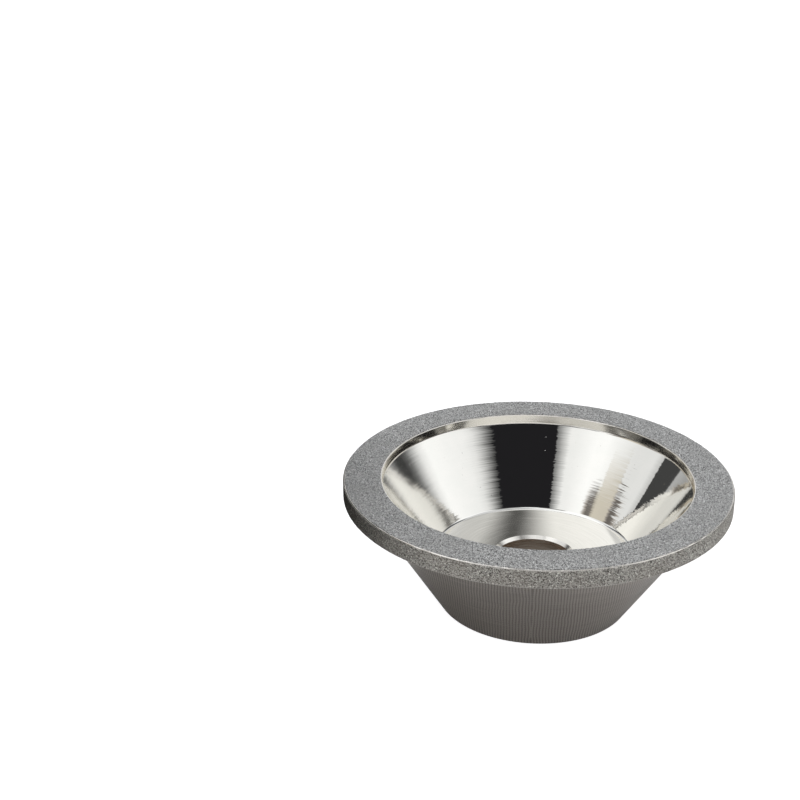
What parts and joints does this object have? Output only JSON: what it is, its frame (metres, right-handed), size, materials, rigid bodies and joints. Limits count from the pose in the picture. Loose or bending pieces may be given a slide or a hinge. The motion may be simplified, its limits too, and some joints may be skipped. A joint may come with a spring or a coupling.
{
  "type": "diamond grinding wheel",
  "caption": "Bowl-shaped diamond grinding wheel: a turned, nickel-plated steel cup whose overhanging flange carries diamond grit on its face and rim, with a central spindle bore.",
  "frame": {"origin": "centre of the small end's back face, which the wheel stands on and which seats against the spindle flange", "axes": "+Z along the spin axis, out of the bowl's open side towards the work; the wheel is the same all round, so +X and +Y are free"},
  "size_m": [0.1, 0.1, 0.035],
  "materials": {
    "nickel_plated_steel": "polished",
    "face_grit": "matte",
    "rim_grit": "matte"
  },
  "bodies": {
    "root": {"cup_body": "nickel_plated_steel", "face_diamond_coat": "face_grit", "rim_diamond_coat": "rim_grit"}
  },
  "joints": []
}
